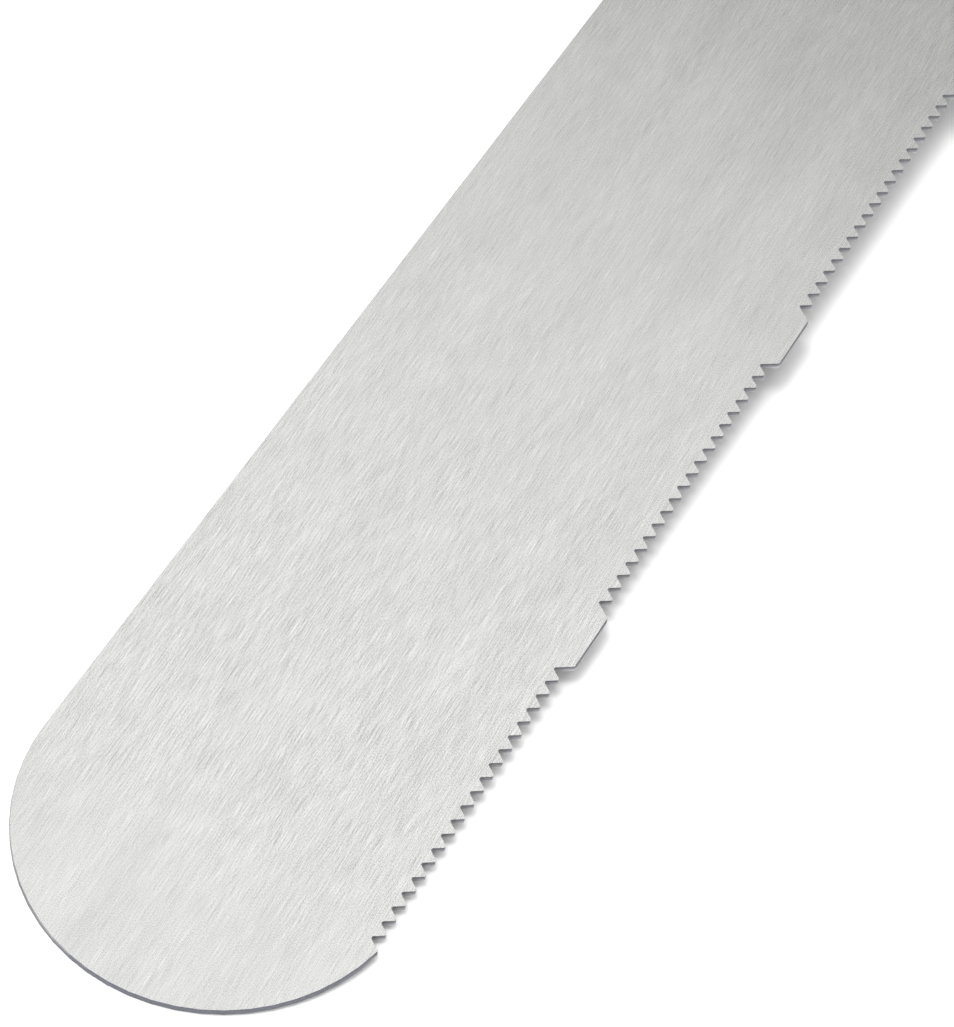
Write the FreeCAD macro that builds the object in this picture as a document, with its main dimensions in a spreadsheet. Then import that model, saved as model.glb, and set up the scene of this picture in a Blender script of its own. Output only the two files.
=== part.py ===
"""Clay modelling knife: a long flexible steel blade with one toothed edge, riveted into a wooden handle.

Row frame: +X from the blade's tip to the handle's end, the toothed edge at -Y, +Z up, and the origin
under the middle of the tool, at the height of the handle's underside.
Each piece is drawn in the tool's own frame, with x from the tip and z from the middle of the blade's
sheet, and its Placement then sets it in the row frame.
"""
import FreeCAD, Part
import math
import os

import Sketcher
from FreeCAD import Vector

SIZES = [
    # the blade's sheet
    ("blade_width", 32.5),
    ("sheet_thickness", 0.6),
    ("straight_length", 158),  # tip to the start of the shoulders
    ("shoulder_radius", 8),
    ("neck_width", 21.8),
    ("neck_end", 176),
    ("edge_break", 0.08),
    # the toothed edge
    ("tooth_pitch", 1.5),
    ("teeth_per_group", 20),
    ("group_pitch", 36),
    ("group_count", 4),
    ("first_notch", 13.75),
    ("notch_depth", 1.41),
    ("notch_half_angle", 34.5),
    ("notch_round", 0.18),
    ("land_round", 0.5),
    ("notch_mouth", 0.6),  # the notch cutter's reach past the edge
    # the handle
    ("handle_front", 172),
    ("handle_length", 113),
    ("waist_at", 25),
    ("waist_width", 20.2),
    ("belly_at", 80),
    ("belly_width", 26),
    ("belly_radius", 220),
    ("handle_thickness", 20),
    ("back_radius", 1456),
    ("front_face", 3),
    ("front_bevel", 5.5),
    ("edge_round", 5),
    ("front_round", 0.8),
    # the rivets, measured along the handle
    ("front_rivet_at", 20),
    ("middle_rivet_at", 52),
    ("rear_rivet_at", 83),
    ("head_diameter", 8),
    ("head_seat", 6.4),
    ("head_stock", 11),
    ("shank_diameter", 5),
    ("pin_diameter", 3.4),
    ("barrel_end", 5.4),
    ("bore_end", 4.4),
    ("pin_end", 3.4),
    ("pin_chamfer", 0.35),
    ("fit_gap", 0.02),
    # the hanging tube
    ("tube_at", 101),
    ("tube_diameter", 8),
    ("tube_bore", 6),
    ("tube_wall_length", 18.6),
]

# Sizes that follow from the driving ones, as expressions.
SWELL = "(Sizes.belly_width - Sizes.waist_width)"
WAIST_RADIUS = f"((Sizes.belly_at - Sizes.waist_at) ^ 2 / {SWELL} + {SWELL} / 4 - Sizes.belly_radius)"
WAIST_CENTRE = f"(Sizes.waist_width / 2 + {WAIST_RADIUS})"
REAR_REACH = "(Sizes.handle_length - Sizes.belly_at)"
BELLY_DROP = "(Sizes.belly_radius - Sizes.belly_width / 2)"
BUTT_RADIUS = (
    f"((Sizes.belly_radius ^ 2 - {REAR_REACH} ^ 2 - {BELLY_DROP} ^ 2)"
    f" / (2 * (Sizes.belly_radius - {REAR_REACH})))"
)
BACK_DROP = "(Sizes.back_radius - Sizes.handle_thickness / 2)"
HANDLE_END = "(Sizes.handle_front + Sizes.handle_length)"
BUTT_CENTRE = f"({HANDLE_END} - {BUTT_RADIUS})"

CLOSE = 1e-4  # two places nearer than this are one

# Sketcher's names for the origin point and for the points of a line or an arc.
ROOT = -1
START = 1
END = 2
CENTRE = 3

doc = FreeCAD.newDocument("ClayModellingKnife")
sheet = doc.addObject("Spreadsheet::Sheet", "Sizes")
for row, (alias, value) in enumerate(SIZES, start=1):
    sheet.set(f"A{row}", alias)
    sheet.set(f"B{row}", str(value))
    sheet.setAlias(f"B{row}", alias)
doc.recompute()


def size(expression):
    """The value of an expression over the sheet, which knows its own cells without the prefix."""
    return float(sheet.evalExpression(expression.replace("Sizes.", "")))


# ---------------------------------------------------------------- sketch helpers


def new_sketch(body, name, plane):
    sketch = body.newObject("Sketcher::SketchObject", name)
    for feature in body.Origin.OriginFeatures:
        if feature.Role == plane:
            sketch.AttachmentSupport = [(feature, "")]
    sketch.MapMode = "FlatFace"
    return sketch


def constrain(sketch, name, kind, *where, to):
    """Adds one dimension to a sketch and binds it to an expression over the sheet."""
    index = sketch.addConstraint(Sketcher.Constraint(kind, *where, size(to)))
    sketch.renameConstraint(index, name)
    sketch.setExpression(f"Constraints.{name}", to)


def fix(sketch, *where):
    sketch.addConstraint(Sketcher.Constraint(*where))


def line(sketch, start, end):
    return sketch.addGeometry(Part.LineSegment(Vector(*start, 0), Vector(*end, 0)), False)


def arc(sketch, centre, radius, start_degrees, end_degrees):
    circle = Part.Circle(Vector(*centre, 0), Vector(0, 0, 1), radius)
    turn = Part.ArcOfCircle(circle, math.radians(start_degrees), math.radians(end_degrees))
    return sketch.addGeometry(turn, False)


def direction(start, end):
    """The bearing of one point from another, in degrees."""
    return math.degrees(math.atan2(end[1] - start[1], end[0] - start[0]))


def polygon(sketch, corners):
    """A closed outline of straight sides, each corner bound to a pair of expressions."""
    places = [(size(x), size(y)) for x, y in corners]
    first = sketch.GeometryCount
    count = len(corners)
    for index in range(count):
        line(sketch, places[index], places[(index + 1) % count])
    for index, (x, y) in enumerate(corners):
        side = first + index
        fix(sketch, "Coincident", side, END, first + (index + 1) % count, START)
        constrain(sketch, f"corner_{index}_x", "DistanceX", ROOT, START, side, START, to=x)
        constrain(sketch, f"corner_{index}_y", "DistanceY", ROOT, START, side, START, to=y)


# ---------------------------------------------------------------- outlines shared by the pieces


def blade_half_outline(sketch):
    """Half of the blade seen from above: tip arc, straight edge, S-shaped shoulder and neck."""
    half = size("Sizes.blade_width / 2")
    neck = size("Sizes.neck_width / 2")
    straight = size("Sizes.straight_length")
    bend = size("Sizes.shoulder_radius")
    neck_end = size("Sizes.neck_end")
    turn = math.degrees(math.acos(1 - (half - neck) / (2 * bend)))
    shoulder_end = straight + 2 * bend * math.sin(math.radians(turn))
    tip = arc(sketch, (half, 0), half, 90, 180)
    edge = line(sketch, (half, half), (straight, half))
    outer = arc(sketch, (straight, half - bend), bend, 90 - turn, 90)
    inner = arc(sketch, (shoulder_end, neck + bend), bend, 270 - turn, 270)
    side = line(sketch, (shoulder_end, neck), (neck_end, neck))
    end = line(sketch, (neck_end, neck), (neck_end, 0))
    middle = line(sketch, (neck_end, 0), (0, 0))
    fix(sketch, "Tangent", tip, START, edge, START)
    fix(sketch, "Tangent", edge, END, outer, END)
    fix(sketch, "Tangent", outer, START, inner, START)
    fix(sketch, "Tangent", inner, END, side, START)
    fix(sketch, "Coincident", side, END, end, START)
    fix(sketch, "Coincident", end, END, middle, START)
    fix(sketch, "Coincident", middle, END, tip, END)
    fix(sketch, "Horizontal", edge)
    fix(sketch, "Horizontal", side)
    fix(sketch, "Vertical", end)
    fix(sketch, "Horizontal", middle)
    fix(sketch, "Coincident", middle, END, ROOT, START)
    fix(sketch, "PointOnObject", tip, CENTRE, ROOT)
    fix(sketch, "Equal", outer, inner)
    constrain(sketch, "tip_radius", "Radius", tip, to="Sizes.blade_width / 2")
    constrain(sketch, "bend", "Radius", outer, to="Sizes.shoulder_radius")
    constrain(sketch, "straight", "DistanceX", ROOT, START, edge, END, to="Sizes.straight_length")
    constrain(sketch, "neck_half", "DistanceY", ROOT, START, side, END, to="Sizes.neck_width / 2")
    constrain(sketch, "neck_reach", "DistanceX", ROOT, START, side, END, to="Sizes.neck_end")


def handle_half_outline(sketch):
    """Half of the handle seen from above: straight front, hollow waist, full belly and round butt."""
    front = size("Sizes.handle_front")
    waist = (front + size("Sizes.waist_at"), size(WAIST_CENTRE))
    belly = (front + size("Sizes.belly_at"), -size(BELLY_DROP))
    butt = (size(BUTT_CENTRE), 0)
    waist_radius = size(WAIST_RADIUS)
    belly_radius = size("Sizes.belly_radius")
    butt_radius = size(BUTT_RADIUS)
    crossing = direction(belly, waist)
    rear = direction(belly, butt)
    corner = (front, waist[1] - math.sqrt(waist_radius**2 - (waist[0] - front) ** 2))
    face = line(sketch, (front, 0), corner)
    hollow = arc(sketch, waist, waist_radius, direction(waist, corner), crossing - 180)
    full = arc(sketch, belly, belly_radius, rear, crossing)
    end = arc(sketch, butt, butt_radius, 0, rear)
    middle = line(sketch, (butt[0] + butt_radius, 0), (front, 0))
    fix(sketch, "Coincident", face, END, hollow, START)
    fix(sketch, "Tangent", hollow, END, full, END)
    fix(sketch, "Tangent", full, START, end, END)
    fix(sketch, "Coincident", end, START, middle, START)
    fix(sketch, "Coincident", middle, END, face, START)
    fix(sketch, "Vertical", face)
    fix(sketch, "PointOnObject", middle, START, ROOT)
    fix(sketch, "PointOnObject", middle, END, ROOT)
    fix(sketch, "PointOnObject", end, CENTRE, ROOT)
    constrain(sketch, "front", "DistanceX", ROOT, START, face, START, to="Sizes.handle_front")
    waist_x = "Sizes.handle_front + Sizes.waist_at"
    belly_x = "Sizes.handle_front + Sizes.belly_at"
    constrain(sketch, "waist_x", "DistanceX", ROOT, START, hollow, CENTRE, to=waist_x)
    constrain(sketch, "waist_y", "DistanceY", ROOT, START, hollow, CENTRE, to=WAIST_CENTRE)
    constrain(sketch, "belly_x", "DistanceX", ROOT, START, full, CENTRE, to=belly_x)
    constrain(sketch, "belly_y", "DistanceY", full, CENTRE, ROOT, START, to=BELLY_DROP)
    constrain(sketch, "belly_radius", "Radius", full, to="Sizes.belly_radius")
    constrain(sketch, "butt_x", "DistanceX", ROOT, START, end, CENTRE, to=BUTT_CENTRE)


def mirror(body, name, feature, plane):
    """Adds the other half of a feature and makes it the body's tip."""
    mirrored = body.newObject("PartDesign::Mirrored", name)
    mirrored.Originals = [feature]
    for origin_plane in body.Origin.OriginFeatures:
        if origin_plane.Role == plane:
            mirrored.MirrorPlane = (origin_plane, [""])
    body.Tip = mirrored
    doc.recompute()
    return mirrored


def pad(body, name, sketch, length):
    """A pad of the sketch, half of the length to each side of its plane."""
    feature = body.newObject("PartDesign::Pad", name)
    feature.Profile = sketch
    feature.SideType = "Symmetric"
    feature.setExpression("Length", length)
    doc.recompute()
    return feature


# ---------------------------------------------------------------- the blade


def edges_where(shape, test):
    return [f"Edge{number}" for number, edge in enumerate(shape.Edges, start=1) if test(edge)]


def is_upright(edge):
    box = edge.BoundBox
    return box.XLength < CLOSE and box.YLength < CLOSE and box.ZLength > CLOSE


def upright_at(y):
    """A test for an edge that runs straight up through the sheet, at y from the middle line."""

    def test(edge):
        return is_upright(edge) and abs(edge.BoundBox.YMin - y) < CLOSE

    return test


def dress_up(body, kind, name, base, edges, prop, expression):
    """A fillet or chamfer of the given edges of the body's last feature."""
    feature = body.newObject(f"PartDesign::{kind}", name)
    feature.Base = (base, edges)
    feature.setExpression(prop, expression)
    body.Tip = feature
    doc.recompute()
    return feature


def is_tip_corner(edge):
    """Where the tip's arc runs into the first notch."""
    box = edge.BoundBox
    outside = -size("Sizes.blade_width / 2 - Sizes.notch_depth")
    return is_upright(edge) and CLOSE < box.XMax < size("Sizes.first_notch") and box.YMax < outside


def notch_outline(sketch):
    """One V notch with a round root, open past the toothed edge at -Y."""
    half = math.radians(size("Sizes.notch_half_angle"))
    root = size("Sizes.notch_round")
    centre_in = "Sizes.blade_width / 2 - Sizes.notch_depth + Sizes.notch_round"
    mouth_out = "Sizes.blade_width / 2 + Sizes.notch_mouth"
    centre = (size("Sizes.first_notch"), -size(centre_in))
    mouth = -size(mouth_out)
    touch = (root * math.cos(half), root * math.sin(half))
    reach = touch[0] + (centre[1] + touch[1] - mouth) * math.tan(half)
    bottom = arc(sketch, centre, root, math.degrees(half), 180 - math.degrees(half))
    right_foot = (centre[0] + reach, mouth)
    left_foot = (centre[0] - reach, mouth)
    right = line(sketch, (centre[0] + touch[0], centre[1] + touch[1]), right_foot)
    across = line(sketch, right_foot, left_foot)
    left = line(sketch, left_foot, (centre[0] - touch[0], centre[1] + touch[1]))
    fix(sketch, "Tangent", bottom, START, right, START)
    fix(sketch, "Coincident", right, END, across, START)
    fix(sketch, "Coincident", across, END, left, START)
    fix(sketch, "Tangent", left, END, bottom, END)
    fix(sketch, "Horizontal", across)
    constrain(sketch, "root", "Radius", bottom, to="Sizes.notch_round")
    constrain(sketch, "first", "DistanceX", ROOT, START, bottom, CENTRE, to="Sizes.first_notch")
    constrain(sketch, "depth", "DistanceY", bottom, CENTRE, ROOT, START, to=centre_in)
    constrain(sketch, "mouth", "DistanceY", across, START, ROOT, START, to=mouth_out)
    for name, flank, turn in (("right_flank", right, -1), ("left_flank", left, 1)):
        slope = turn * (math.pi / 2 - half)
        index = sketch.addConstraint(Sketcher.Constraint("Angle", flank, slope))
        sketch.renameConstraint(index, name)
        sketch.setExpression(f"Constraints.{name}", f"{turn} * (90 - Sizes.notch_half_angle) * 1 deg")


def cut_teeth(body, sheet_feature):
    """One notch, repeated along a group and from group to group, with its crests and corners rounded."""
    sketch = new_sketch(body, "NotchOutline", "XY_Plane")
    notch_outline(sketch)
    notch = body.newObject("PartDesign::Pocket", "Notch")
    notch.Profile = sketch
    notch.Type = "ThroughAll"
    notch.SideType = "Symmetric"
    doc.recompute()
    teeth = body.newObject("PartDesign::MultiTransform", "Teeth")
    teeth.Originals = [notch]
    rows = []
    for name, spacing, count in (
        ("NotchesOfGroup", "Sizes.tooth_pitch", "Sizes.teeth_per_group"),
        ("Groups", "Sizes.group_pitch", "Sizes.group_count"),
    ):
        row = body.newObject("PartDesign::LinearPattern", name)
        row.Direction = (sketch, ["H_Axis"])
        row.setExpression("Occurrences", count)
        row.setExpression("Length", f"{spacing} * ({count} - 1)")
        rows.append(row)
    teeth.Transformations = rows
    body.Tip = teeth
    doc.recompute()

    half = math.radians(size("Sizes.notch_half_angle"))
    pointed_root = size("Sizes.notch_depth") + size("Sizes.notch_round") * (1 / math.sin(half) - 1)
    crest = pointed_root - size("Sizes.tooth_pitch / 2") / math.tan(half)
    crests = edges_where(teeth.Shape, upright_at(crest - size("Sizes.blade_width / 2")))
    crests += edges_where(teeth.Shape, is_tip_corner)
    rounded = dress_up(body, "Fillet", "RoundCrests", teeth, crests, "Radius", "Sizes.notch_round")
    corners = edges_where(rounded.Shape, upright_at(-size("Sizes.blade_width / 2")))
    return dress_up(body, "Fillet", "RoundLands", rounded, corners, "Radius", "Sizes.land_round")


def circle_sketch(body, name, plane, places, diameter):
    """Circles along the middle line of the tool, each at a distance from the handle's front."""
    sketch = new_sketch(body, name, plane)
    for alias in places:
        at = f"Sizes.handle_front + Sizes.{alias}"
        circle = Part.Circle(Vector(size(at), 0, 0), Vector(0, 0, 1), size(diameter) / 2)
        ring = sketch.addGeometry(circle, False)
        fix(sketch, "PointOnObject", ring, CENTRE, ROOT)
        constrain(sketch, f"{alias}_x", "DistanceX", ROOT, START, ring, CENTRE, to=at)
        constrain(sketch, f"{alias}_size", "Radius", ring, to=f"{diameter} / 2")
    return sketch


def drill(body, name, places, diameter):
    hole = body.newObject("PartDesign::Pocket", name)
    hole.Profile = circle_sketch(body, f"{name}Circles", "XY_Plane", places, diameter)
    hole.Type = "ThroughAll"
    hole.SideType = "Symmetric"
    body.Tip = hole
    doc.recompute()
    return hole


RIVETS = {"front": "front_rivet_at", "middle": "middle_rivet_at", "rear": "rear_rivet_at"}
TO_ROW_FRAME = {
    ".Placement.Base.x": f"-{HANDLE_END} / 2",
    ".Placement.Base.z": "Sizes.handle_thickness / 2",
}


def place_in_row_frame(piece):
    for prop, expression in TO_ROW_FRAME.items():
        piece.setExpression(prop, expression)


def make_blade():
    body = doc.addObject("PartDesign::Body", "Blade")
    outline = new_sketch(body, "BladeOutline", "XY_Plane")
    blade_half_outline(outline)
    half_sheet = pad(body, "HalfSheet", outline, "Sizes.sheet_thickness")
    whole_sheet = mirror(body, "WholeSheet", half_sheet, "XZ_Plane")

    def is_worked_edge(edge):
        box = edge.BoundBox
        return box.ZLength < CLOSE and box.XMax < size("Sizes.handle_front")

    edges = edges_where(whole_sheet.Shape, is_worked_edge)
    broken = dress_up(body, "Chamfer", "BrokenEdges", whole_sheet, edges, "Size", "Sizes.edge_break")
    cut_teeth(body, broken)
    tang = new_sketch(body, "TangOutline", "XY_Plane")
    handle_half_outline(tang)
    half_tang = pad(body, "HalfTang", tang, "Sizes.sheet_thickness")
    mirror(body, "WholeTang", half_tang, "XZ_Plane")
    drill(body, "RivetHoles", RIVETS.values(), "Sizes.shank_diameter")
    drill(body, "TubeHole", ["tube_at"], "Sizes.tube_diameter")
    place_in_row_frame(body)
    return body


# ---------------------------------------------------------------- the handle


def is_clear_of_tang(box, gap):
    """Whether a box lies wholly more than the gap above or below the middle of the sheet."""
    return box.ZMin > gap or box.ZMax < -gap


def make_handle_form():
    """The whole handle as one solid: its outline from above, cut to its side profile, edges rounded."""
    seen_above = doc.addObject("PartDesign::Body", "HandleFromAbove")
    outline = new_sketch(seen_above, "HandleOutline", "XY_Plane")
    handle_half_outline(outline)
    half = pad(seen_above, "HalfOutline", outline, "Sizes.handle_thickness * 2")
    mirror(seen_above, "WholeOutline", half, "XZ_Plane")

    seen_aside = doc.addObject("PartDesign::Body", "HandleFromTheSide")
    profile = new_sketch(seen_aside, "HandleProfile", "XZ_Plane")
    thickest = "Sizes.handle_front + Sizes.belly_at"
    bevel_end = "Sizes.handle_front + Sizes.front_bevel"
    past_butt = f"{HANDLE_END} + Sizes.edge_round"
    front = size("Sizes.handle_front")
    face = size("Sizes.front_face")
    centre = (size(thickest), -size(BACK_DROP))
    radius = size("Sizes.back_radius")

    def on_back(x):
        return (x, centre[1] + math.sqrt(radius**2 - (x - centre[0]) ** 2))

    shoulder = on_back(size(bevel_end))
    heel = on_back(size(past_butt))
    upright = line(profile, (front, 0), (front, face))
    bevel = line(profile, (front, face), shoulder)
    back = arc(profile, centre, radius, direction(centre, heel), direction(centre, shoulder))
    rear = line(profile, heel, (heel[0], 0))
    middle = line(profile, (heel[0], 0), (front, 0))
    fix(profile, "Coincident", upright, END, bevel, START)
    fix(profile, "Coincident", bevel, END, back, END)
    fix(profile, "Coincident", back, START, rear, START)
    fix(profile, "Coincident", rear, END, middle, START)
    fix(profile, "Coincident", middle, END, upright, START)
    fix(profile, "Vertical", upright)
    fix(profile, "Vertical", rear)
    fix(profile, "PointOnObject", middle, START, ROOT)
    fix(profile, "PointOnObject", middle, END, ROOT)
    constrain(profile, "front", "DistanceX", ROOT, START, upright, START, to="Sizes.handle_front")
    constrain(profile, "face", "DistanceY", ROOT, START, upright, END, to="Sizes.front_face")
    constrain(profile, "bevel", "DistanceX", ROOT, START, bevel, END, to=bevel_end)
    constrain(profile, "rear", "DistanceX", ROOT, START, rear, START, to=past_butt)
    constrain(profile, "back", "Radius", back, to="Sizes.back_radius")
    constrain(profile, "thickest", "DistanceX", ROOT, START, back, CENTRE, to=thickest)
    constrain(profile, "drop", "DistanceY", back, CENTRE, ROOT, START, to=BACK_DROP)
    half = pad(seen_aside, "HalfProfile", profile, "Sizes.belly_width * 2")
    mirror(seen_aside, "WholeProfile", half, "XY_Plane")

    block = doc.addObject("Part::Common", "HandleBlock")
    block.Base = seen_above
    block.Tool = seen_aside
    doc.recompute()

    def is_long_edge(edge):
        box = edge.BoundBox
        return box.XLength > CLOSE and is_clear_of_tang(box, size("Sizes.handle_thickness / 4"))

    def is_bevel_rim(edge):
        box = edge.BoundBox
        in_front = box.XMax < size("Sizes.handle_front + 2 * Sizes.front_bevel")
        return in_front and is_clear_of_tang(box, size("0.9 * Sizes.front_face"))

    rounded = round_edges("RoundedHandle", block, is_long_edge, size("Sizes.edge_round"))
    return round_edges("HandleForm", rounded, is_bevel_rim, size("Sizes.front_round"))


def round_edges(name, base, test, radius):
    fillet = doc.addObject("Part::Fillet", name)
    fillet.Base = base
    names = edges_where(base.Shape, test)
    fillet.Edges = [(int(name.removeprefix("Edge")), radius, radius) for name in names]
    doc.recompute()
    return fillet


def cylinder(name, at, diameter, low, high):
    """An upright cylinder on the middle line, from one height to another, all sizes as expressions."""
    solid = doc.addObject("Part::Cylinder", name)
    solid.setExpression("Radius", f"({diameter}) / 2")
    solid.setExpression("Height", f"({high}) - ({low})")
    solid.setExpression(".Placement.Base.x", f"Sizes.handle_front + {at}")
    solid.setExpression(".Placement.Base.z", low)
    return solid


def boolean(kind, name, base, tool):
    result = doc.addObject(f"Part::{kind}", name)
    result.Base = base
    result.Tool = tool
    result.Refine = True
    return result


def make_scale(side, form):
    """The handle form on one side of the tang, bored and counterbored for the rivets and the tube."""
    up = side == "Top"
    slab = doc.addObject("Part::Box", f"{side}Slab")
    slab.setExpression("Length", "Sizes.handle_length + 2")
    slab.setExpression("Width", "2 * Sizes.belly_width")
    slab.setExpression("Height", "Sizes.head_stock")
    slab.setExpression(".Placement.Base.x", "Sizes.handle_front - 1")
    slab.setExpression(".Placement.Base.y", "-Sizes.belly_width")
    above = "Sizes.sheet_thickness / 2"
    below = "-Sizes.sheet_thickness / 2 - Sizes.head_stock"
    slab.setExpression(".Placement.Base.z", above if up else below)
    shank = ("0", "Sizes.head_stock") if up else ("-Sizes.head_stock", "0")
    seat = ("Sizes.head_seat", "Sizes.head_stock") if up else ("-Sizes.head_stock", "-Sizes.head_seat")
    bores = [cylinder(f"{side}TubeBore", "Sizes.tube_at", "Sizes.tube_diameter", *shank)]
    for name, alias in RIVETS.items():
        at = f"Sizes.{alias}"
        bores.append(cylinder(f"{side}{name.title()}Bore", at, "Sizes.shank_diameter", *shank))
        bores.append(cylinder(f"{side}{name.title()}Seat", at, "Sizes.head_diameter", *seat))
    drills = doc.addObject("Part::MultiFuse", f"{side}Bores")
    drills.Shapes = bores
    half = boolean("Common", f"{side}Half", form, slab)
    scale = boolean("Cut", f"{side}Scale", half, drills)
    place_in_row_frame(scale)
    return scale


# ---------------------------------------------------------------- rivets and tube


def make_rivet_half(name, alias, part_name, corners, form):
    """One half of a cutler's rivet, turned from its half section, its head ground flush with the handle."""
    turned = doc.addObject("PartDesign::Body", f"{name}{part_name}Blank")
    section = new_sketch(turned, f"{name}{part_name}Section", "XZ_Plane")
    polygon(section, corners)
    revolved = turned.newObject("PartDesign::Revolution", f"{name}{part_name}Turned")
    revolved.Profile = section
    revolved.ReferenceAxis = (section, ["V_Axis"])
    revolved.Angle = 360
    turned.setExpression(".Placement.Base.x", f"Sizes.handle_front + Sizes.{alias}")
    doc.recompute()
    half = boolean("Common", f"{name}{part_name}", turned, form)
    place_in_row_frame(half)
    return half


def make_rivets(form):
    head = "Sizes.head_diameter / 2 - Sizes.fit_gap"
    tube = "Sizes.shank_diameter / 2 - Sizes.fit_gap"
    bore = "Sizes.pin_diameter / 2"
    pin = "Sizes.pin_diameter / 2 - Sizes.fit_gap"
    nose = "Sizes.pin_diameter / 2 - Sizes.fit_gap - Sizes.pin_chamfer"
    barrel = [
        ("0", "Sizes.head_stock"),
        ("0", "Sizes.bore_end"),
        (bore, "Sizes.bore_end"),
        (bore, "-Sizes.barrel_end"),
        (tube, "-Sizes.barrel_end"),
        (tube, "Sizes.head_seat"),
        (head, "Sizes.head_seat"),
        (head, "Sizes.head_stock"),
    ]
    solid = [
        ("0", "-Sizes.head_stock"),
        (head, "-Sizes.head_stock"),
        (head, "-Sizes.head_seat"),
        (pin, "-Sizes.head_seat"),
        (pin, "Sizes.pin_end - Sizes.pin_chamfer"),
        (nose, "Sizes.pin_end"),
        ("0", "Sizes.pin_end"),
    ]
    pieces = {}
    for name, alias in RIVETS.items():
        pieces[f"rivet_{name}_barrel"] = make_rivet_half(name.title(), alias, "Barrel", barrel, form)
        pieces[f"rivet_{name}_pin"] = make_rivet_half(name.title(), alias, "Pin", solid, form)
    return pieces


def make_hanging_tube(form):
    """A tube right through the handle, flush with it, with both mouths of its bore countersunk."""
    reach = "Sizes.head_stock"
    snug = "Sizes.tube_diameter - 2 * Sizes.fit_gap"
    outside = cylinder("TubeOutside", "Sizes.tube_at", snug, f"-{reach}", reach)
    inside = cylinder("TubeInside", "Sizes.tube_at", "Sizes.tube_bore", f"-{reach}", reach)
    mouths = [inside]
    for name, turn in (("Upper", 0), ("Lower", 180)):
        mouth = doc.addObject("Part::Cone", f"{name}Mouth")
        mouth.setExpression("Radius1", "Sizes.tube_bore / 2")
        mouth.setExpression("Radius2", f"Sizes.tube_bore / 2 + {reach} - Sizes.tube_wall_length / 2")
        mouth.setExpression("Height", f"{reach} - Sizes.tube_wall_length / 2")
        mouth.Placement.Rotation = FreeCAD.Rotation(Vector(1, 0, 0), turn)
        side = "-" if turn else ""
        mouth.setExpression(".Placement.Base.x", "Sizes.handle_front + Sizes.tube_at")
        mouth.setExpression(".Placement.Base.z", f"{side}Sizes.tube_wall_length / 2")
        mouths.append(mouth)
    bore = doc.addObject("Part::MultiFuse", "TubeBoreCutter")
    bore.Shapes = mouths
    tube = boolean("Common", "HangingTube", boolean("Cut", "BoredTube", outside, bore), form)
    place_in_row_frame(tube)
    return tube


# ---------------------------------------------------------------- the whole tool

handle_form = make_handle_form()
pieces = {
    "blade": make_blade(),
    "handle_scale_top": make_scale("Top", handle_form),
    "handle_scale_bottom": make_scale("Bottom", handle_form),
    "hanging_tube": make_hanging_tube(handle_form),
    **make_rivets(handle_form),
}
for label, piece in pieces.items():
    piece.Label = label
doc.recompute()

for item in doc.Objects:
    if {"Invalid", "Error"} & set(item.State):
        raise RuntimeError(f"{item.Name} failed: {item.State}")
for label, piece in pieces.items():
    if piece.Shape.isNull() or not piece.Shape.isValid() or len(piece.Shape.Solids) != 1:
        raise RuntimeError(f"{label} isn't one valid solid")

os.makedirs("parts", exist_ok=True)
for label, piece in pieces.items():
    piece.Shape.exportStep(f"parts/{label}.step")
    box = piece.Shape.BoundBox
    print(f"{label}: {piece.Shape.Volume:.1f} mm3, z {box.ZMin:.2f} to {box.ZMax:.2f}")
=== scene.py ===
import math

import bpy
from mathutils import Matrix, Vector


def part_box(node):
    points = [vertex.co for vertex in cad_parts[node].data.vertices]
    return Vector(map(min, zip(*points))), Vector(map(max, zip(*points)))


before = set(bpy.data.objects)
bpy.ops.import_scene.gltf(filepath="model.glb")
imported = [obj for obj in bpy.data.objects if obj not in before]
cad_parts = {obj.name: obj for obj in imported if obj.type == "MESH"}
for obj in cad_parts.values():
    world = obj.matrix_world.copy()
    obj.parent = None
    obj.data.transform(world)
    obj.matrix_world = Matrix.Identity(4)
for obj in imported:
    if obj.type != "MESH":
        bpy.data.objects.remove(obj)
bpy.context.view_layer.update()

bl_info = {
    "name": "Clay Modelling Knife",
    "version": (1, 0, 0),
    "blender": (4, 5, 0),
    "location": "View3D > Sidebar > Knife",
    "description": "Finishes a round-tipped clay modelling knife and sets it in a small studio",
    "category": "Object",
}

MM = 0.001
RIVETS = ("front", "middle", "rear")
SCALES = {
    # which half: the y and z of its growth rings' heart in mm, and its own seed
    "top": ((-21.0, -34.0), 3.0),
    "bottom": ((26.0, 52.0), 20.0),
}

# Pairs of colours, between which the bare metal of the blade's edges varies. They carry painted shade round
# the blank and at the notches' top edges and roots, and painted light from the floor on the lower notch
# walls.
BLANK_EDGE_AND_SHADE = ((0.085, 0.088, 0.105), (0.20, 0.205, 0.23))
TOOTH_WALL_AND_FLOOR_LIGHT = ((0.32, 0.325, 0.34), (0.64, 0.64, 0.65))
TOOTH_LIP_BURR_AND_SHADE = ((0.06, 0.06, 0.07), (0.20, 0.20, 0.215))
PORE_COLOUR = (0.035, 0.016, 0.009)
SEAM_COLOUR = (0.05, 0.024, 0.013)
TARNISH = (0.30, 0.19, 0.08)

# The colour mix node's sockets.
MIX_AMOUNT, MIX_FIRST, MIX_SECOND, MIX_RESULT = 0, 6, 7, 2

# The floor leans inside the first of these circles and is level beyond the last; in metres.
FLOOR_RINGS = (0.4, 0.5, 0.6, 0.7, 0.8, 0.9, 1.0, 1.1, 1.2)
FLOOR_SIDES = 72

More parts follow.
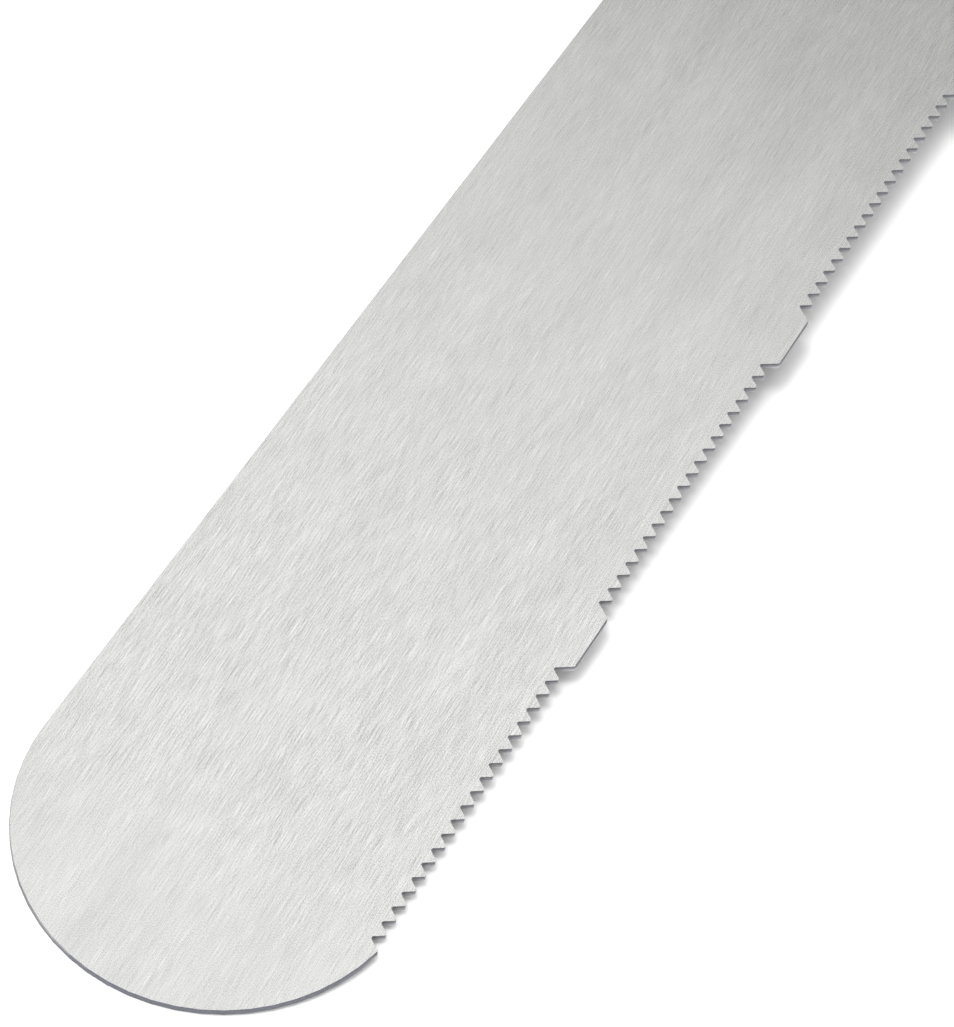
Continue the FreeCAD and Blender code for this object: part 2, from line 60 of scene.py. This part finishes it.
SOFTBOXES = (
    # brightness setting, place, aim and size in metres, and what the light is left out of
    ("ceiling", (-0.35, 0.4, 1.5), (-0.35, 0.4, 0.0), (3.2, 2.2), None),
    ("wall", (-1.6, 0.2, 1.0), (0.0, 0.2, 0.0), (3.6, 1.7), None),
    ("card", (0.4, -1.6, 0.9), (0.4, 0.0, 0.0), (4.4, 1.7), "diffuse"),
    ("lamp", (-0.30, 0.22, 1.45), (0.0, 0.0, 0.0), (0.5, 0.5), "glossy"),
)

# The camera's place from the blade's tip in mm, its line of sight, and its sideways direction.
EYE_FROM_TIP = (-110.4, -72.1, 251.7)
LINE_OF_SIGHT = (0.52779, 0.22716, -0.81845)
SIDEWAYS = (0.49422, -0.86581, 0.07839)


def middle_of(node):
    """The centre of a node's box, in mm."""
    low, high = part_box(node)
    return (Vector(low) + Vector(high)) / 2 / MM


# ---------------------------------------------------------------- shader maths


class Signal:
    """A number that varies over a surface. Arithmetic on it adds Math nodes to its finish."""

    def __init__(self, finish, socket):
        self.finish = finish
        self.socket = socket

    def math(self, operation, *others):
        values = dict(enumerate((self, *others)))
        return self.finish.node("ShaderNodeMath", {"operation": operation}, values)[0]

    def swapped(self, operation, other):
        return self.finish.node("ShaderNodeMath", {"operation": operation}, {0: other, 1: self})[0]

    def __add__(self, other):
        return self.math("ADD", other)

    def __sub__(self, other):
        return self.math("SUBTRACT", other)

    def __mul__(self, other):
        return self.math("MULTIPLY", other)

    def __truediv__(self, other):
        return self.math("DIVIDE", other)

    def __pow__(self, other):
        return self.math("POWER", other)

    def __abs__(self):
        return self.math("ABSOLUTE")

    def __rsub__(self, other):
        return self.swapped("SUBTRACT", other)

    __radd__ = __add__
    __rmul__ = __mul__


class Outputs:
    """A new node's outputs, by number or by name."""

    def __init__(self, finish, node):
        self.finish = finish
        self.node = node

    def __getitem__(self, key):
        return Signal(self.finish, self.node.outputs[key])


class Finish:
    """One material, and the ways its nodes are made."""

    def __init__(self, name):
        self.material = bpy.data.materials.new(name)
        self.material.use_nodes = True
        self.tree = self.material.node_tree
        self.tree.nodes.clear()

    def node(self, kind, settings=None, values=None):
        """Adds a node: its settings first, then the values or links of its sockets."""
        made = self.tree.nodes.new(kind)
        for name, setting in (settings or {}).items():
            if name == "stops":
                fill_ramp(made.color_ramp, setting)
            else:
                setattr(made, name, setting)
        for key, value in (values or {}).items():
            if isinstance(value, Signal):
                self.tree.links.new(value.socket, made.inputs[key])
            else:
                made.inputs[key].default_value = value
        return Outputs(self, made)

    def place(self):
        """x, y and z of a point of the surface in the row frame, in mm."""
        where = self.node("ShaderNodeTexCoord")["Object"]
        scaled = self.node("ShaderNodeVectorMath", {"operation": "SCALE"}, {0: where, "Scale": 1 / MM})
        parts = self.node("ShaderNodeSeparateXYZ", values={0: scaled[0]})
        return parts["X"], parts["Y"], parts["Z"]

    def facing(self):
        """x, y and z of the surface's own normal."""
        normal = self.node("ShaderNodeNewGeometry")["True Normal"]
        parts = self.node("ShaderNodeSeparateXYZ", values={0: normal})
        return parts["X"], parts["Y"], parts["Z"]

    def noise(self, x, y, z, detail=2.0, roughness=0.5, distortion=0.0):
        """Cloudy noise between 0 and 1, about one blob for each unit of x, y and z."""
        where = self.node("ShaderNodeCombineXYZ", values={"X": x, "Y": y, "Z": z})[0]
        values = {"Vector": where, "Scale": 1.0, "Detail": detail, "Roughness": roughness}
        values["Distortion"] = distortion
        return self.node("ShaderNodeTexNoise", {"noise_dimensions": "3D"}, values)["Fac"]

    def cells(self, x, y, z):
        """Distance from the nearest of a scatter of points, one point for each unit cube."""
        where = self.node("ShaderNodeCombineXYZ", values={"X": x, "Y": y, "Z": z})[0]
        return self.node("ShaderNodeTexVoronoi", values={"Vector": where, "Scale": 1.0})["Distance"]

    def fade(self, value, low, high, at_low=0.0, at_high=1.0):
        """A smooth change from one value to another as the signal goes from low to high."""
        values = {0: value, 1: low, 2: high, 3: at_low, 4: at_high}
        return self.node("ShaderNodeMapRange", {"interpolation_type": "SMOOTHSTEP"}, values)[0]

    def blend(self, amount, first, second):
        """A colour between two others, each a signal or three numbers."""
        if not isinstance(first, Signal):
            first = (*first, 1)
        if not isinstance(second, Signal):
            second = (*second, 1)
        values = {MIX_AMOUNT: amount, MIX_FIRST: first, MIX_SECOND: second}
        return self.node("ShaderNodeMix", {"data_type": "RGBA"}, values)[MIX_RESULT]

    def surface(self, height, strength, depth, **values):
        """The finished surface: a Principled shader with a bump of the given height."""
        bump_values = {"Height": height, "Strength": strength, "Distance": depth}
        values["Normal"] = self.node("ShaderNodeBump", values=bump_values)[0]
        named = {name.replace("_", " "): value for name, value in values.items()}
        shader = self.node("ShaderNodeBsdfPrincipled", values=named)[0]
        self.node("ShaderNodeOutputMaterial", values={"Surface": shader})
        return self.material


def fill_ramp(ramp, stops):
    """Sets a ramp's stops, each a position and a colour."""
    while len(ramp.elements) > 1:
        ramp.elements.remove(ramp.elements[-1])
    for index, (position, colour) in enumerate(stops):
        element = ramp.elements[0] if index == 0 else ramp.elements.new(position)
        element.position = position
        element.color = colour


def dress(node, material):
    """Gives a node of the frame one material all over."""
    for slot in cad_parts[node].material_slots:
        slot.material = material


# ---------------------------------------------------------------- finishes


def brush_marks(finish, x, y, tip):
    """The brushing along the blade: its tone, its fine marks, its glints and its height."""

    def strokes(angle, length, width, seed, detail=2.0):
        """Noise drawn out into brush strokes of the given length and width in mm."""
        turn = math.radians(angle)
        along = x * math.cos(turn) + y * math.sin(turn)
        across = y * math.cos(turn) - x * math.sin(turn)
        return finish.noise(along / length, across / width, seed, detail)

    hair = strokes(2.5, 2.8, 0.065, 3.0)
    crossing = strokes(6.0, 2.2, 0.065, 11.0)
    counter = strokes(-2.0, 2.4, 0.065, 17.0)
    stroke = strokes(2.0, 9.0, 0.22, 23.0)
    band = strokes(0.5, 60.0, 3.5, 31.0)
    cloud = finish.noise(x / 9, y / 6, 41.0, 3.0)
    speck = finish.noise(x / 0.11, y / 0.10, 53.0, 1.0)
    patch = finish.noise(x / 2.6, y / 1.7, 61.0, 2.0)
    scratch = strokes(3.0, 4.0, 0.09, 71.0, 1.0)
    glint = finish.fade(hair + crossing * 0.6, 0.96, 1.12) * finish.fade(patch, 0.42, 0.60)
    nick = finish.fade(scratch, 0.32, 0.24) * finish.fade(patch, 0.38, 0.52)

    fine = (hair - 0.5) * 1.5 + (crossing - 0.5) * 0.9 + (counter - 0.5) * 0.9 + (speck - 0.5) * 1.8
    broad = (stroke - 0.5) * 0.3 + (band - 0.5) * 0.25 + (cloud - 0.5) * 0.18
    near_tip = finish.fade(x, tip + 6, tip + 22, 0.65, 1.25)
    worn = near_tip * finish.fade(x, tip + 32, tip + 90, 1.0, 0.5)
    marks = fine * (patch * 0.5 + 0.55) + glint * 0.4 - nick * 0.45
    tone = marks * worn + broad + 0.5
    height = hair * 0.4 + crossing * 0.25 + counter * 0.25 + stroke * 0.2 + scratch * 0.3
    return tone, fine, glint, height


def edge_colour_and_shade(finish, x, y, z, low, high):
    """Sheared metal with painted light and shade: dark round the blank in painted shade, and between the
    teeth a dark burr and notch root in painted shade over walls painted lighter with light from the floor.
    """
    tip, toothed_side, top = low[0], low[1], high[2]
    toothed = finish.fade(y, toothed_side + 3.0, toothed_side + 1.9) * finish.fade(x, tip + 11, tip + 13)
    # Painted light: the notch walls get lighter towards their bottom, as if lit from the white floor.
    floor_light_below = finish.fade(z, top - 0.08, top - 0.65)
    # Painted shade: the notch walls are darkest at the notch root and lighten towards the teeth's points.
    out_of_root_shade = finish.fade(y, toothed_side + 1.5, toothed_side + 0.1)
    sheared = finish.noise(x / 0.35, y / 0.35, z / 0.12, 3.0)
    # Round the blank the sheared metal is dark: partly its own rough colour, partly painted shade.
    blank_edge_and_shade = finish.blend(sheared, *BLANK_EDGE_AND_SHADE)
    # The lower notch walls: sheared steel painted lighter, as if lit from the floor.
    cut = finish.blend(sheared, *TOOTH_WALL_AND_FLOOR_LIGHT)
    # The top edge of the notch walls: a dark burr, deepened with painted shade.
    lip_burr_and_shade = finish.blend(sheared, *TOOTH_LIP_BURR_AND_SHADE)
    # Notch walls: painted shade at the top edge and root, over painted floor light lower down.
    tooth_wall_light_and_shade = finish.blend(floor_light_below * (out_of_root_shade * 0.7 + 0.3), lip_burr_and_shade, cut)
    return finish.blend(toothed, blank_edge_and_shade, tooth_wall_light_and_shade)


def brushed_steel(look):
    """Stainless sheet, brushed in short strokes along the blade, with a darker sheared edge that is partly
    painted shade.
    """
    finish = Finish("brushed blade steel")
    x, y, z = finish.place()
    low, high = [[value / MM for value in corner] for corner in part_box("blade")]
    tone, fine, glint, height = brush_marks(finish, x, y, low[0])
    _, ny, nz = finish.facing()
    # Sheared edges, and chamfers that don't face the plain edge, take the edge colour with its painted
    # shade; brushed faces and chamfers facing the plain edge don't.
    flat = finish.fade(abs(nz), 0.78, 0.92)
    chamfer_kept_unshaded = finish.fade(abs(nz), 0.25, 0.6) * finish.fade(ny, 0.05, 0.3)
    face = flat.math("MAXIMUM", chamfer_kept_unshaded)
    brushed = finish.blend(tone, look.steel_dark, look.steel_light)
    colour = finish.blend(face, edge_colour_and_shade(finish, x, y, z, low, high), brushed)
    rough = look.steel_roughness + fine * 0.06 - glint * 0.08 + (1 - face) * 0.15
    return finish.surface(height, look.brushing, 0.02 * MM, Base_Color=colour, Metallic=1.0, Roughness=rough)


def oiled_wood(look, name, heart, seed):
    """Close-grained hardwood: growth rings round a far-off heart, fibres, pores and a dark seam."""
    finish = Finish(name)
    x, y, z = finish.place()
    wave = finish.noise(x / 60, y / 14, z / 14 + seed, 2.0)
    drift = finish.noise(x / 26, y / 5, z / 5 + seed, 2.0)
    across = y - heart[0] + (wave - 0.5) * 9.0
    depth = z - heart[1] + (drift - 0.5) * 2.4
    radius = (across * across + depth * depth) ** 0.5
    ring = radius / 2.6 + (finish.noise(radius / 6, 0.0, seed, 1.0) - 0.5) * 2.0
    late = (ring * (2 * math.pi)).math("SINE") * 0.5 + 0.5
    fibre = finish.noise(x / 9, y / 0.22, z / 0.22 + seed, 3.0)
    streak = finish.noise(x / 34, y / 1.3, z / 1.3 + seed, 3.0, 0.6)
    from_pore = finish.cells(x / 2.6, y / 0.30, z / 0.30 + seed)
    pore = finish.fade(from_pore, 0.10, 0.24, 1.0, 0.0) * finish.fade(streak, 0.35, 0.65, 0.35, 1.0)
    figure = late ** 2.2 * 0.46 + (fibre - 0.5) * 0.75 + (streak - 0.5) * 1.0 + 0.33
    stops = [
        (0.0, (*look.wood_light, 1)),
        (0.5, (*look.wood_middle, 1)),
        (1.0, (*look.wood_dark, 1)),
    ]
    wood = finish.node("ShaderNodeValToRGB", {"stops": stops}, {0: figure})[0]
    seam_z = middle_of("blade").z
    seam = finish.fade(abs(z - seam_z), 0.35, 1.3, 0.55, 0.0)
    porous = finish.blend(pore * 0.9, wood, PORE_COLOUR)
    colour = finish.blend(seam, porous, SEAM_COLOUR)
    rough = look.wood_roughness + (fibre - 0.5) * 0.16 + pore * 0.25 - late * 0.04
    height = fibre * 0.35 - pore * 1.0 - late * 0.15
    return finish.surface(
        height, 0.55, 0.06 * MM, Base_Color=colour, Roughness=rough, Specular_IOR_Level=0.45
    )


def ground_brass(look, name, centre):
    """Brass ground flush with the wood: straight sanding marks, and a darker ring at the rim."""
    finish = Finish(name)
    x, y, _ = finish.place()
    away = ((x - centre.x) ** 2 + (y - centre.y) ** 2) ** 0.5
    sanding = finish.noise(x / 2.6, y / 0.09, centre.x, 2.0)
    stray = finish.noise((x + y) / 1.8, (y - x) / 0.12, centre.x + 5.0, 2.0)
    bloom = finish.noise(x / 2.2, y / 2.2, centre.x + 9.0, 3.0)
    rim = finish.fade(away, 3.2, 4.0)
    tone = (sanding - 0.5) * 0.8 + (stray - 0.5) * 0.5 + 0.55 - (bloom - 0.5) * 0.8
    clean = finish.blend(tone, look.brass_dark, look.brass_light)
    colour = finish.blend(rim * 0.6 + finish.fade(bloom, 0.55, 0.75) * 0.25, clean, TARNISH)
    rough = look.brass_roughness + (sanding - 0.5) * 0.14 + bloom * 0.1 + rim * 0.1
    height = sanding * 0.6 + stray * 0.4
    return finish.surface(height, 0.5, 0.03 * MM, Base_Color=colour, Metallic=1.0, Roughness=rough)


def pale_floor(look):
    """Matt white board with a barely visible tooth."""
    finish = Finish("pale studio board")
    x, y, _ = finish.place()
    tooth = finish.noise(x / 0.8, y / 0.8, 0.0, 3.0)
    cloud = finish.noise(x / 160, y / 160, 7.0, 2.0)
    dulled = [value * 0.985 for value in look.floor_colour]
    colour = finish.blend(cloud, dulled, look.floor_colour)
    return finish.surface(tooth, 0.05, 0.02 * MM, Base_Color=colour, Roughness=0.7 + tooth * 0.1)


# ---------------------------------------------------------------- settings


def colour_setting(name, text, default):
    return bpy.props.FloatVectorProperty(
        name=name, description=text, subtype="COLOR", size=3, min=0.0, max=1.0, default=default
    )


def share_setting(name, text, default):
    return bpy.props.FloatProperty(
        name=name, description=text, subtype="FACTOR", min=0.0, max=1.0, default=default
    )


class KnifeFinishes(bpy.types.PropertyGroup):
    """Colours and surface qualities of the knife's pieces."""

    steel_light: colour_setting("Steel, light", "Crests of the brushing", (0.57, 0.57, 0.563))
    steel_dark: colour_setting("Steel, dark", "Bottoms of the brushing", (0.29, 0.29, 0.287))
    steel_roughness: share_setting("Steel roughness", "How dull the brushed faces are", 0.28)
    brushing: share_setting("Brushing", "How deep the brush strokes look", 0.15)
    wood_light: colour_setting("Wood, light", "Early wood", (0.37, 0.17, 0.075))
    wood_middle: colour_setting("Wood, middle", "Body colour of the wood", (0.22, 0.088, 0.038))
    wood_dark: colour_setting("Wood, dark", "Late wood and streaks", (0.082, 0.03, 0.016))
    wood_roughness: share_setting("Wood roughness", "How dull the oiled wood is", 0.42)
    brass_light: colour_setting("Brass, light", "Freshly ground brass", (0.76, 0.55, 0.27))
    brass_dark: colour_setting("Brass, dark", "Brass between the sanding marks", (0.48, 0.32, 0.135))
    brass_roughness: share_setting("Brass roughness", "How dull the ground brass is", 0.27)


class KnifeStudio(bpy.types.PropertyGroup):
    """The floor, the lights and the camera."""

    floor_colour: colour_setting("Floor", "Colour of the board the knife lies on", (0.93, 0.93, 0.93))
    floor_size: bpy.props.FloatProperty(
        name="Floor size", description="Side of the board", unit="LENGTH", default=12.0
    )
    room: bpy.props.FloatProperty(
        name="Room light", description="Brightness of the pale room all round", default=0.5
    )
    ceiling: bpy.props.FloatProperty(
        name="Ceiling light", description="Brightness of the soft box overhead", default=1.35
    )
    wall: bpy.props.FloatProperty(
        name="Wall light", description="Brightness of the tall soft box beyond the tip", default=0.8
    )
    card: bpy.props.FloatProperty(
        name="Card", description="Brightness of the card that only shows in reflections", default=0.95
    )
    lamp: bpy.props.FloatProperty(
        name="Lamp", description="Brightness of the small soft box overhead", default=12.0
    )
    lens: bpy.props.FloatProperty(
        name="Lens", description="Focal length", subtype="DISTANCE_CAMERA", default=132.1
    )


# ---------------------------------------------------------------- pieces


class KNIFE_OT_blade(bpy.types.Operator):
    """Brush the blade"""

    bl_idname = "knife.blade"
    bl_label = "Blade"

    def execute(self, context):
        dress("blade", brushed_steel(context.scene.knife_finishes))
        return {"FINISHED"}


class KNIFE_OT_handle(bpy.types.Operator):
    """Oil the two wooden scales, each cut from its own plank"""

    bl_idname = "knife.handle"
    bl_label = "Handle scales"

    def execute(self, context):
        look = context.scene.knife_finishes
        for side, (heart, seed) in SCALES.items():
            dress(f"handle_scale_{side}", oiled_wood(look, f"oiled wood {side}", heart, seed))
        return {"FINISHED"}


class KNIFE_OT_rivets(bpy.types.Operator):
    """Grind the three rivets flush"""

    bl_idname = "knife.rivets"
    bl_label = "Rivets"

    def execute(self, context):
        for name in RIVETS:
            for half in ("barrel", "pin"):
                node = f"rivet_{name}_{half}"
                finish_name = f"ground brass {name} {half}"
                dress(node, ground_brass(context.scene.knife_finishes, finish_name, middle_of(node)))
        return {"FINISHED"}


class KNIFE_OT_hanging_tube(bpy.types.Operator):
    """Finish the brass tube in the handle's end"""

    bl_idname = "knife.hanging_tube"
    bl_label = "Hanging tube"

    def execute(self, context):
        node = "hanging_tube"
        dress(node, ground_brass(context.scene.knife_finishes, "tube brass", middle_of(node)))
        return {"FINISHED"}


# ---------------------------------------------------------------- stage


def resting_slope(tip):
    """How steeply the floor falls from under the tip to where it just touches the lower scale."""
    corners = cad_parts["handle_scale_bottom"].data.vertices
    return max((tip.z - corner.co.z) / (corner.co.x - tip.x) for corner in corners)


def add_floor(studio):
    """A board under the knife, which lies on its tip and on its handle's belly. It levels out far off."""
    low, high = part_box("blade")
    tip = Vector((low[0], 0, low[2]))
    slope = resting_slope(tip)
    level = tip.z + slope * tip.x
    radii = (*FLOOR_RINGS, studio.floor_size / 2)
    leaning, levelled = FLOOR_RINGS[0], FLOOR_RINGS[-1]

    def height(x, radius):
        share = min(max((radius - leaning) / (levelled - leaning), 0.0), 1.0)
        tilt = 1 - share * share * (3 - 2 * share)
        return level - tilt * slope * x

    points = [(0.0, 0.0, level)]
    faces = [(0, 1 + step, 1 + (step + 1) % FLOOR_SIDES) for step in range(FLOOR_SIDES)]
    for ring, radius in enumerate(radii):
        outer = 1 + ring * FLOOR_SIDES
        inner = outer - FLOOR_SIDES
        for step in range(FLOOR_SIDES):
            angle = 2 * math.pi * step / FLOOR_SIDES
            x, y = radius * math.cos(angle), radius * math.sin(angle)
            points.append((x, y, height(x, radius)))
            if ring:
                following = (step + 1) % FLOOR_SIDES
                faces.append((inner + step, outer + step, outer + following, inner + following))
    mesh = bpy.data.meshes.new("studio_floor")
    mesh.from_pydata(points, [], faces)
    mesh.shade_smooth()
    floor = bpy.data.objects.new("studio_floor", mesh)
    bpy.context.collection.objects.link(floor)
    mesh.materials.append(pale_floor(studio))


def add_softbox(name, brightness, location, target, size, left_out):
    """A rectangular panel of soft light. Its brightness is that of its own face, whatever its size."""
    light = bpy.data.lights.new(name, "AREA")
    light.shape = "RECTANGLE"
    light.size, light.size_y = size
    light.energy = brightness * math.pi * size[0] * size[1]
    panel = bpy.data.objects.new(name, light)
    bpy.context.collection.objects.link(panel)
    panel.location = location
    panel.rotation_mode = "QUATERNION"
    panel.rotation_quaternion = (Vector(target) - Vector(location)).to_track_quat("-Z", "Y")
    if left_out:
        setattr(panel, f"visible_{left_out}", False)


def add_room(strength):
    world = bpy.data.worlds.new("pale room")
    world.use_nodes = True
    background = world.node_tree.nodes["Background"]
    background.inputs["Color"].default_value = (1.0, 1.0, 1.0, 1)
    background.inputs["Strength"].default_value = strength
    bpy.context.scene.world = world


def add_camera(studio):
    """Close over the tip, looking up the blade from the toothed side."""
    low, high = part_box("blade")
    eye = Vector((low[0], 0, high[2])) + Vector(EYE_FROM_TIP) * MM
    ahead = Vector(LINE_OF_SIGHT).normalized()
    sideways = Vector(SIDEWAYS)
    right = (sideways - sideways.dot(ahead) * ahead).normalized()
    up = right.cross(ahead)
    data = bpy.data.cameras.new("camera")
    data.lens = studio.lens
    data.sensor_width = 36.0
    data.clip_start = 0.01
    data.clip_end = 30.0
    camera = bpy.data.objects.new("camera", data)
    bpy.context.collection.objects.link(camera)
    turn = Matrix((right, up, -ahead)).transposed()
    camera.matrix_world = Matrix.Translation(eye) @ turn.to_4x4()
    bpy.context.scene.camera = camera


class KNIFE_OT_stage(bpy.types.Operator):
    """Lay the knife on a pale board under soft light, and set up the camera"""

    bl_idname = "knife.stage"
    bl_label = "Stage"

    def execute(self, context):
        studio = context.scene.knife_studio
        context.scene.view_settings.view_transform = "Standard"
        add_floor(studio)
        for name, location, target, size, left_out in SOFTBOXES:
            add_softbox(name, getattr(studio, name), location, target, size, left_out)
        add_room(studio.room)
        add_camera(studio)
        return {"FINISHED"}


class KNIFE_PT_panel(bpy.types.Panel):
    """The knife's pieces, one button each"""

    bl_label = "Clay Modelling Knife"
    bl_idname = "KNIFE_PT_panel"
    bl_space_type = "VIEW_3D"
    bl_region_type = "UI"
    bl_category = "Knife"

    def draw(self, context):
        for group, cls in SETTINGS.items():
            for name in cls.__annotations__:
                self.layout.prop(getattr(context.scene, group), name)
        for operator in OPERATORS:
            self.layout.operator(operator.bl_idname)


SETTINGS = {"knife_finishes": KnifeFinishes, "knife_studio": KnifeStudio}
OPERATORS = (KNIFE_OT_blade, KNIFE_OT_handle, KNIFE_OT_rivets, KNIFE_OT_hanging_tube, KNIFE_OT_stage)


def register():
    for cls in (*SETTINGS.values(), *OPERATORS, KNIFE_PT_panel):
        bpy.utils.register_class(cls)
    for name, cls in SETTINGS.items():
        setattr(bpy.types.Scene, name, bpy.props.PointerProperty(type=cls))


def unregister():
    for name in SETTINGS:
        delattr(bpy.types.Scene, name)
    for cls in reversed((*SETTINGS.values(), *OPERATORS, KNIFE_PT_panel)):
        bpy.utils.unregister_class(cls)


def main():
    register()
    for operator in OPERATORS:
        group, name = operator.bl_idname.split(".")
        getattr(getattr(bpy.ops, group), name)()


if __name__ == "__main__":
    main()
